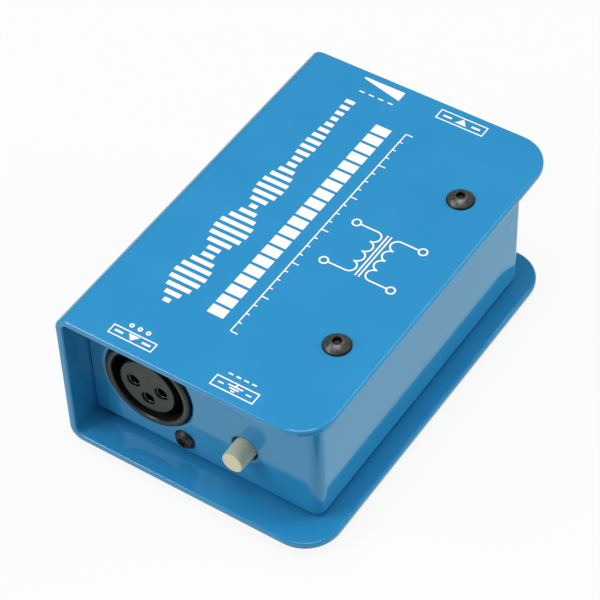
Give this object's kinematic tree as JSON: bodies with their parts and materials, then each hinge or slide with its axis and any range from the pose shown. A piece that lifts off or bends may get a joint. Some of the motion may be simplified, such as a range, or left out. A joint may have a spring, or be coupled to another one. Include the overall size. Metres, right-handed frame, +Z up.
{
  "type": "re-amping box",
  "caption": "Small steel book-end box for re-amping: a folded cover over a U chassis, XLR input and push button in front, level knob and jack output behind.",
  "frame": {"origin": "middle of the no-slip pad's underside, below the middle of the cover", "axes": "+Z up, -Y out of the XLR front panel, +X towards the cover's open side"},
  "size_m": [0.0678, 0.1058, 0.0455],
  "materials": {
    "blue_paint": "gloss powder coat",
    "black_oxide": "worn black oxide",
    "pad_rubber": "matt",
    "board_laminate": "solder mask",
    "socket_plastic": "moulded",
    "insert_plastic": "moulded",
    "tin_plate": "bright tin",
    "ivory_plastic": "moulded",
    "black_plastic": "moulded",
    "white_inlay": "printed",
    "nickel": "nickel plate",
    "zinc": "zinc plate",
    "phenolic": "sheet",
    "gilt_contact": "bright",
    "core_iron": "varnished laminations",
    "copper_wire": "enamelled copper",
    "winding_tape": "polyester tape",
    "resistor_body": "lacquer",
    "capacitor_body": "moulded"
  },
  "bodies": {
    "case": {"outer_cover": "blue_paint", "inner_chassis": "blue_paint", "cover_screws": "black_oxide", "no_slip_pad": "pad_rubber", "circuit_board": "board_laminate", "xlr_housing": "socket_plastic", "xlr_insert": "insert_plastic", "xlr_contacts": "tin_plate", "xlr_screws": "black_oxide", "switch_housing": "black_plastic", "switch_terminals": "tin_plate", "switch_spring": "zinc", "pot_can": "zinc", "pot_bushing": "zinc", "pot_wafer": "phenolic", "pot_terminals": "tin_plate", "pot_washer": "nickel", "pot_nut": "nickel", "jack_housing": "black_plastic", "jack_bushing": "nickel", "jack_washer": "nickel", "jack_nut": "nickel", "jack_tip_contact": "gilt_contact", "jack_sleeve_contact": "gilt_contact", "core_e_stack": "core_iron", "core_i_bar": "core_iron", "bobbin": "ivory_plastic", "primary_winding": "copper_wire", "secondary_winding": "winding_tape", "transformer_clamp": "zinc", "transformer_pins": "tin_plate", "resistors": "resistor_body", "film_capacitor": "capacitor_body"},
    "button": {"switch_plunger": "ivory_plastic", "lift_button": "ivory_plastic"},
    "level": {"pot_shaft": "zinc", "pot_rotor": "black_plastic", "level_knob": "black_plastic", "knob_pointer": "white_inlay", "knob_set_screw": "black_oxide"}
  },
  "joints": [
    {"name": "lift_press", "type": "slide", "parent": "case", "child": "button", "axis": [0, 1, 0], "range_m": [0, 0.003], "stiffness_N_per_m": 600, "springref_m": -0.002, "deforming": ["switch_spring"]},
    {"name": "level_turn", "type": "hinge", "parent": "case", "child": "level", "pos_m": [-0.0109, 0.0478, 0.0175], "axis": [0, 1, 0], "range_deg": [-150, 150]}
  ]
}
